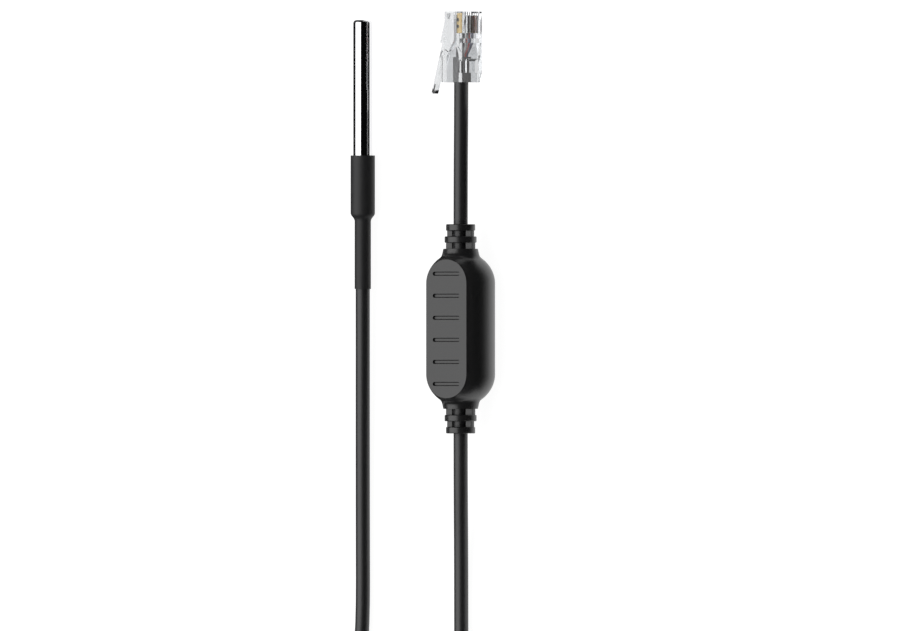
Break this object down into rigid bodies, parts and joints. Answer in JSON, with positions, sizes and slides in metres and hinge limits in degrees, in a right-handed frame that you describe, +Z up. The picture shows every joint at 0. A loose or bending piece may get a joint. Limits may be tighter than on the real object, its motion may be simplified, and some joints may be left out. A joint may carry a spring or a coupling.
{
  "type": "temperature probe",
  "caption": "Slim steel temperature probe with a black sleeve on a thin round cable, an inline moulded module with grooved faces, and a clear modular plug.",
  "frame": {"origin": "under the middle of the probe, at the bottom centre of its bounding box, on the table", "axes": "+Y along the probe towards its closed tip, +Z up from the table it lies on; the cable leaves towards -Y and comes back to the module and the plug at +X"},
  "size_m": [0.062, 0.2978, 0.018],
  "materials": {
    "sheath_steel": "polished, drawn",
    "sleeve": "satin",
    "epoxy": "gloss",
    "bead": "satin",
    "potting": "matte",
    "tinned_wire": "satin",
    "clear_tube": "gloss",
    "cable_jacket": "satin",
    "module_moulding": "fine matte texture",
    "inner_block": "matte",
    "board": "satin solder mask",
    "chip": "matte",
    "tin_can": "satin",
    "solder": "satin",
    "capacitor": "satin",
    "core_red": "gloss",
    "core_black": "gloss",
    "core_white": "gloss",
    "core_blue": "gloss",
    "clear_plastic": "clear, polished",
    "gold_contact": "gold plated, polished"
  },
  "bodies": {
    "root": {"probe_sheath": "sheath_steel", "heat_shrink_sleeve": "sleeve", "inner_sleeve": "sleeve", "rear_seal": "epoxy", "sensor_bead": "bead", "thermal_potting": "potting", "sensor_lead_1": "tinned_wire", "sensor_lead_2": "tinned_wire", "lead_sleeve_1": "clear_tube", "lead_sleeve_2": "clear_tube", "splice_1": "tinned_wire", "splice_2": "tinned_wire", "probe_core_1": "core_red", "probe_core_2": "core_black", "probe_lead": "cable_jacket", "cable_coil": "cable_jacket", "module_lead": "cable_jacket", "plug_lead": "cable_jacket", "module_housing": "module_moulding", "inner_mould": "inner_block", "circuit_board": "board", "converter_chip": "chip", "voltage_regulator": "chip", "oscillator": "tin_can", "input_solder": "solder", "output_solder": "solder", "input_core_1": "core_red", "input_core_2": "core_black", "output_core_1": "core_black", "output_core_2": "core_white", "output_core_3": "core_red", "output_core_4": "core_blue", "plug_body": "clear_plastic", "plug_wire_black": "core_black", "plug_wire_white": "core_white", "plug_wire_red": "core_red", "plug_wire_blue": "core_blue", "capacitor_1": "capacitor", "capacitor_2": "capacitor", "capacitor_3": "capacitor", "resistor_1": "chip", "resistor_2": "chip", "resistor_3": "chip", "resistor_4": "chip", "plug_contact_1": "gold_contact", "plug_contact_2": "gold_contact", "plug_contact_3": "gold_contact", "plug_contact_4": "gold_contact", "plug_contact_5": "gold_contact", "plug_contact_6": "gold_contact", "plug_contact_7": "gold_contact", "plug_contact_8": "gold_contact"}
  },
  "joints": []
}
